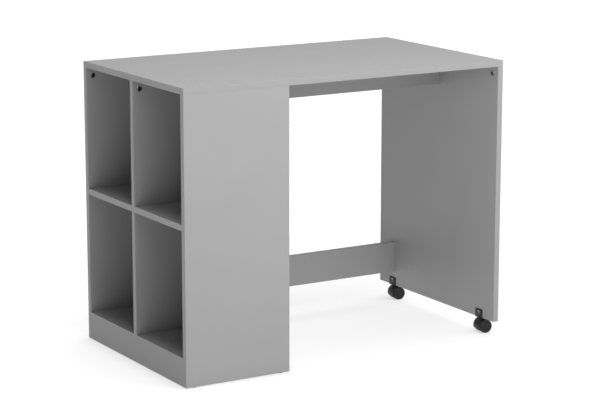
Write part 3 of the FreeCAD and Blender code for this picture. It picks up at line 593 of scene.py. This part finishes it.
class Paint:
    """A material under construction: its node tree, its shader and its object coordinates."""

    def __init__(self, name, **constants):
        self.material = bpy.data.materials.new(name)
        self.material.use_nodes = True
        self.tree = self.material.node_tree
        self.shader = self.tree.nodes["Principled BSDF"]
        for socket, value in constants.items():
            self.shader.inputs[socket.replace("_", " ")].default_value = value
        self.place = self.node("ShaderNodeTexCoord").outputs["Object"]

    def node(self, kind, inputs=(), **settings):
        """A new node: settings are its properties, and each input is a value or another node's output."""
        made = self.tree.nodes.new(kind)
        for key, value in settings.items():
            setattr(made, key, value)
        for number, value in dict(inputs).items():
            self.feed(made.inputs[number], value)
        return made

    def feed(self, socket, value):
        if isinstance(value, bpy.types.NodeSocket):
            self.tree.links.new(value, socket)
        else:
            socket.default_value = value

    def math(self, operation, *values):
        return self.node("ShaderNodeMath", enumerate(values), operation=operation).outputs[0]

    def vector(self, operation, *values):
        return self.node("ShaderNodeVectorMath", enumerate(values), operation=operation).outputs[0]

    def noise(self, size, detail=2.0, place=None, roughness=0.5):
        """Noise from 0 to 1 whose features are about size metres across."""
        inputs = {"Vector": place or self.place, "Scale": 1 / size, "Detail": detail, "Roughness": roughness}
        return self.node("ShaderNodeTexNoise", inputs).outputs["Fac"]

    def ramp(self, value, start, end, low=0.0, high=1.0):
        """The value as one that goes from low to high while the value goes from start to end."""
        inputs = {"Value": value, "From Min": start, "From Max": end, "To Min": low, "To Max": high}
        return self.node("ShaderNodeMapRange", inputs).outputs["Result"]

    def spread(self, value, low, high):
        """A noise as a value from low to high, which its middle part from 0.3 to 0.7 fills."""
        return self.ramp(value, 0.3, 0.7, low, high)

    def parts(self, vector):
        """The vector's x, y and z."""
        return self.node("ShaderNodeSeparateXYZ", {0: vector}).outputs

    def length(self, vector):
        return self.node("ShaderNodeVectorMath", {0: vector}, operation="LENGTH").outputs["Value"]

    def mix(self, share, first, second):
        made = self.node("ShaderNodeMix", data_type="RGBA")
        self.feed(made.inputs[0], share)
        for socket, value in zip((made.inputs[6], made.inputs[7]), (first, second)):
            self.feed(socket, value)
        return made.outputs[2]

    def scaled(self, colour, factor):
        """The colour times a factor."""
        made = self.node("ShaderNodeVectorMath", operation="SCALE")
        self.feed(made.inputs[0], colour if isinstance(colour, bpy.types.NodeSocket) else colour[:3])
        self.feed(made.inputs[3], factor)
        return made.outputs[0]

    def finish(self, colour, roughness, bumps=()):
        """Links the colour, roughness and bumps, each (height, distance in metres), coarse ones first."""
        self.feed(self.shader.inputs["Base Color"], colour)
        self.feed(self.shader.inputs["Roughness"], roughness)
        normal = None
        for height, distance in bumps:
            bump = self.node("ShaderNodeBump", {"Height": height, "Distance": distance, "Strength": 1.0})
            if normal:
                self.tree.links.new(normal, bump.inputs["Normal"])
            normal = bump.outputs["Normal"]
        if normal:
            self.tree.links.new(normal, self.shader.inputs["Normal"])
        return self.material


def rgb(grey, warm=0.0):
    return (grey * (1 + warm), grey, grey * (1 - warm), 1)


def paint_board(name, number):
    """Matt melamine with a fine pearl texture, and a plastic edge band whose seam shows on the faces."""
    low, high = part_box(name)
    size = list(high - low)
    paint = Paint(f"melamine_{name}", Specular_IOR_Level=0.2, IOR=1.5)
    shift = paint.vector("ADD", paint.place, tuple(number * step for step in GRAIN_SHIFT))

    inset = paint.vector("MINIMUM", paint.vector("SUBTRACT", paint.place, tuple(low)),
                         paint.vector("SUBTRACT", tuple(high), paint.place))
    skip = [0, 0, 0]
    skip[size.index(min(size))] = 1
    parts = paint.parts(paint.vector("ADD", inset, tuple(skip)))
    to_edge = paint.math("MINIMUM", paint.math("MINIMUM", parts[0], parts[1]), parts[2])
    band = paint.math("LESS_THAN", to_edge, EDGE_BAND)
    seam = paint.math("COMPARE", to_edge, EDGE_BAND, SEAM_HALF)

    clouds = paint.spread(paint.noise(0.16, 3, shift), 0.985, 1.015)
    grains = paint.spread(paint.noise(0.9 * MM, 2, shift), 0.975, 1.025)
    face = [*BOARD_GREY, 1]
    edge = [*(channel * EDGE_TONE for channel in BOARD_GREY), 1]
    colour = paint.mix(band, face, edge)
    colour = paint.scaled(colour, paint.math("MULTIPLY", clouds, grains))
    colour = paint.scaled(colour, paint.math("SUBTRACT", 1.0, paint.math("MULTIPLY", seam, SEAM_DARKNESS)))
    roughness = paint.math("SUBTRACT", paint.spread(paint.noise(6 * MM, 3, shift), 0.46, 0.54),
                           paint.math("MULTIPLY", band, EDGE_GLOSS))
    pearl = paint.noise(0.7 * MM, 3, shift, 0.6)
    waves = paint.noise(0.05, 1, shift)
    return paint.finish(colour, roughness, [(waves, 0.05 * MM), (pearl, 0.012 * MM)])


def paint_castor_nylon():
    """Black moulded nylon with the fine spark texture of its mould."""
    paint = Paint("castor_nylon", Specular_IOR_Level=0.25, IOR=1.53)
    tone = paint.spread(paint.noise(7 * MM, 3), 0.9, 1.12)
    spark = paint.noise(0.28 * MM, 2)
    roughness = paint.spread(paint.noise(2.2 * MM, 3), 0.40, 0.50)
    return paint.finish(paint.scaled(rgb(0.013), tone), roughness, [(spark, 0.02 * MM)])


def paint_wheel(radius):
    """Black nylon, satin on the face. The tread is dusty and scuffed where it rolls."""
    paint = Paint("wheel_nylon", Specular_IOR_Level=0.25, IOR=1.53)
    parts = paint.parts(paint.place)
    across = paint.node("ShaderNodeCombineXYZ", {0: parts[0], 1: parts[1]}).outputs[0]
    tread_depth, wear, tread_roughness = 0.5 * MM, 0.55, 0.2
    tread = paint.math("GREATER_THAN", paint.length(across), radius - tread_depth)
    scuffs = paint.spread(paint.noise(1.6 * MM, 4, roughness=0.65), 0.0, 1.0)
    worn = paint.math("MULTIPLY", tread, paint.math("MULTIPLY", scuffs, wear))
    tone = paint.spread(paint.noise(6 * MM, 3), 0.92, 1.1)
    colour = paint.scaled(paint.mix(worn, rgb(0.014), rgb(0.045, 0.04)), tone)
    roughness = paint.math("ADD", paint.spread(paint.noise(2 * MM, 3), 0.36, 0.46),
                           paint.math("MULTIPLY", tread, tread_roughness))
    spark = paint.noise(0.3 * MM, 2)
    return paint.finish(colour, roughness, [(scuffs, 0.015 * MM), (spark, 0.012 * MM)])


def finish_metal(paint, colour, rough, grain, relief):
    """A cloudy tone, slightly uneven gloss and fine grain."""
    tone = paint.spread(paint.noise(3 * MM, 4), 0.86, 1.1)
    roughness = paint.spread(paint.noise(1.1 * MM, 3), rough - 0.06, rough + 0.08)
    return paint.finish(paint.scaled(colour, tone), roughness, [(paint.noise(grain, 2), relief)])


def paint_zinc_steel():
    paint = Paint("zinc_steel", Metallic=1.0)
    return finish_metal(paint, rgb(0.60, warm=0.02), rough=0.30, grain=0.3 * MM, relief=0.006 * MM)


def paint_black_painted_highlights(name, face, edge, side, grain):
    """Blackened metal: dark flat faces, and rounded edges painted lighter as a highlight, brighter on top than at
    the sides.
    """
    paint = Paint(name, Metallic=1.0)
    normal = paint.node("ShaderNodeNewGeometry").outputs["Normal"]
    parts = paint.parts(paint.vector("ABSOLUTE", normal))
    straight = paint.math("MAXIMUM", paint.math("MAXIMUM", parts[0], parts[1]), parts[2])
    # painted highlight: rounded edges get a lighter tone than flat faces, lightest where they face up
    flat = paint.ramp(straight, 0.95, 0.995)
    painted_top_highlight = paint.ramp(paint.parts(normal)[2], 0.0, 0.6)
    rim = paint.mix(painted_top_highlight, rgb(side), rgb(edge))
    return finish_metal(paint, paint.mix(flat, rim, rgb(face)), rough=0.30, grain=grain, relief=0.008 * MM)


def paint_powder_coat():
    """Black powder coat on sheet steel, with its fine orange peel."""
    paint = Paint("black_powder_coat", Specular_IOR_Level=0.3, IOR=1.5)
    tone = paint.spread(paint.noise(5 * MM, 3), 0.92, 1.1)
    peel = paint.noise(0.9 * MM, 2)
    fine = paint.noise(0.2 * MM, 1)
    roughness = paint.spread(paint.noise(1.5 * MM, 2), 0.42, 0.55)
    return paint.finish(paint.scaled(rgb(0.014), tone), roughness, [(peel, 0.03 * MM), (fine, 0.012 * MM)])


def paint_beech():
    """Turned beech: pale brown with short darker flecks along the grain."""
    paint = Paint("beech", Specular_IOR_Level=0.4)
    stretched = paint.vector("MULTIPLY", paint.place, (1.0, 1.0, 0.15))
    flecks = paint.spread(paint.noise(0.5 * MM, 4, stretched, 0.6), 0.0, 1.0)
    rings = paint.spread(paint.noise(2.5 * MM, 2, stretched), 0.9, 1.08)
    colour = paint.scaled(paint.mix(flecks, (0.72, 0.55, 0.36, 1), (0.56, 0.38, 0.22, 1)), rings)
    return paint.finish(colour, paint.spread(flecks, 0.55, 0.68), [(flecks, 0.04 * MM)])


def paint_glide():
    paint = Paint("glide_plastic", Specular_IOR_Level=0.5)
    scratches = paint.spread(paint.noise(1.2 * MM, 4, roughness=0.65), 0.0, 1.0)
    colour = paint.mix(scratches, rgb(0.05), rgb(0.075, 0.03))
    return paint.finish(colour, paint.spread(scratches, 0.45, 0.62), [(scratches, 0.02 * MM)])


def dress(piece, material):
    """Gives the piece this material alone."""
    piece.data.materials.clear()
    piece.data.materials.append(material)


def paint_everything(pieces, wheel_radius):
    by_slot = {
        # edge and side: the painted highlight's tone on top of rounded edges and at their sides
        "black_zinc": paint_black_painted_highlights("black_zinc", face=0.12, edge=0.95, side=0.20, grain=0.25 * MM),
        "zinc_steel": paint_zinc_steel(),
        "black_screw": paint_black_painted_highlights("black_oxide", face=0.06, edge=0.70, side=0.14, grain=0.2 * MM),
        "black_steel": paint_powder_coat(),
        "castor_nylon": paint_castor_nylon(),
        "wheel_nylon": paint_wheel(wheel_radius),
        "beech": paint_beech(),
        "glide_plastic": paint_glide(),
    }
    for piece in pieces:
        dress(piece, by_slot[piece["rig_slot"]])
    boards = sorted(name for name, slot in SLOTS.items() if slot == "board")
    for number, name in enumerate(boards):
        dress(frame["nodes"][name], paint_board(name, number))
    for name, slot in SLOTS.items():
        if slot != "board" and not frame["nodes"][name].hide_render:
            dress(frame["nodes"][name], by_slot[slot])


# ---------------------------------------------------------------- studio

def direction(azimuth, elevation):
    """The way to a place at that azimuth and elevation. Azimuth 0 is in front of the desk, 90 to its right."""
    level = math.cos(elevation)
    return Vector((math.sin(azimuth) * level, -math.cos(azimuth) * level, math.sin(elevation)))


def make_camera():
    back = direction(CAMERA_AZIMUTH, CAMERA_ELEVATION)
    data = bpy.data.cameras.new("camera")
    data.lens = CAMERA_LENS
    data.sensor_width = CAMERA_SENSOR
    data.sensor_fit = "HORIZONTAL"
    data.clip_end = 100
    camera = bpy.data.objects.new("camera", data)
    bpy.context.scene.collection.objects.link(camera)
    camera.location = CAMERA_TARGET + back * CAMERA_DISTANCE
    camera.rotation_euler = (-back).to_track_quat("-Z", "Y").to_euler()
    bpy.context.scene.camera = camera


def make_floor():
    """A plain pale floor that glows a little, so that it's white in the light and pale grey in the shade."""
    bm = bmesh.new()
    corners = rectangle(-FLOOR_HALF, -FLOOR_HALF, FLOOR_HALF, FLOOR_HALF)
    bm.faces.new([bm.verts.new((x, y, 0)) for x, y in corners])
    floor = finish_mesh("floor", bm)
    paint = Paint("pale_floor", Specular_IOR_Level=0.0)
    tone = paint.spread(paint.noise(0.8, 2), 0.99, 1.01)
    colour = paint.scaled(rgb(FLOOR_ALBEDO), tone)
    paint.feed(paint.shader.inputs["Emission Color"], rgb(1.0))
    offset = paint.vector("SUBTRACT", paint.place, tuple(FLOOR_SHADE))
    # painted light: the floor's glow, with painted shade where it is dimmer near FLOOR_SHADE
    glow = paint.ramp(paint.length(offset), *FLOOR_GLOW_REACH, *FLOOR_GLOW)
    # painted contact shadow: the glow is dimmed where the floor is covered close by
    open_share = paint.node("ShaderNodeAmbientOcclusion", {"Distance": CONTACT_REACH}).outputs["AO"]
    painted_contact_shadow = paint.math("MULTIPLY_ADD", open_share, CONTACT_DEPTH, 1 - CONTACT_DEPTH)
    paint.feed(paint.shader.inputs["Emission Strength"], paint.math("MULTIPLY", glow, painted_contact_shadow))
    dress(floor, paint.finish(colour, FLOOR_ROUGHNESS))


def make_world():
    """A white room that the camera sees, and reflections too but less bright. It lights nothing else."""
    world = bpy.data.worlds.new("studio")
    bpy.context.scene.world = world
    world.use_nodes = True
    tree = world.node_tree
    background = tree.nodes["Background"]
    background.inputs["Color"].default_value = (1, 1, 1, 1)
    path = tree.nodes.new("ShaderNodeLightPath")
    seen = tree.nodes.new("ShaderNodeMath")
    seen.operation = "MULTIPLY_ADD"
    tree.links.new(path.outputs["Is Glossy Ray"], seen.inputs[0])
    seen.inputs[1].default_value = ROOM_REFLECTION
    tree.links.new(path.outputs["Is Camera Ray"], seen.inputs[2])
    tree.links.new(seen.outputs[0], background.inputs["Strength"])


def add_lamp(name, kind, azimuth, elevation, strength):
    """A lamp that shines from a direction, and the vector towards it."""
    data = bpy.data.lights.new(name, kind)
    data.energy = strength
    lamp = bpy.data.objects.new(name, data)
    lamp.visible_camera = False
    bpy.context.scene.collection.objects.link(lamp)
    towards = direction(math.radians(azimuth), math.radians(elevation))
    lamp.rotation_euler = towards.to_track_quat("Z", "Y").to_euler()
    return lamp, towards


def make_lights():
    for name, place in SUNS.items():
        sun, _ = add_lamp(f"sun_{name}", "SUN", *place)
        sun.data.angle = SUN_SOFTNESS
    for name, (distance, *rest) in SOFT_BOXES.items():
        box, towards = add_lamp(name, "AREA", *rest)
        box.data.size = SOFT_BOX_SIZE
        box.location = SOFT_BOX_TARGET + towards * distance


def main():
    make_camera()
    pieces = make_castor("front") + make_castor("rear")
    for make, node in ((make_cam_lock_set, "cam_locks"), (make_confirmat_set, "confirmat_screws"),
                       (make_pan_head_set, "castor_pan_head_screws"),
                       (make_countersunk_set, "castor_countersunk_screws")):
        pieces.append(finish_piece(make(), "carcass", node))
    low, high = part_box("front_castor_front_wheel")
    paint_everything(pieces, (high.z - low.z) / 2)
    make_floor()
    make_world()
    make_lights()
    bpy.context.scene.view_settings.view_transform = "Standard"


main()
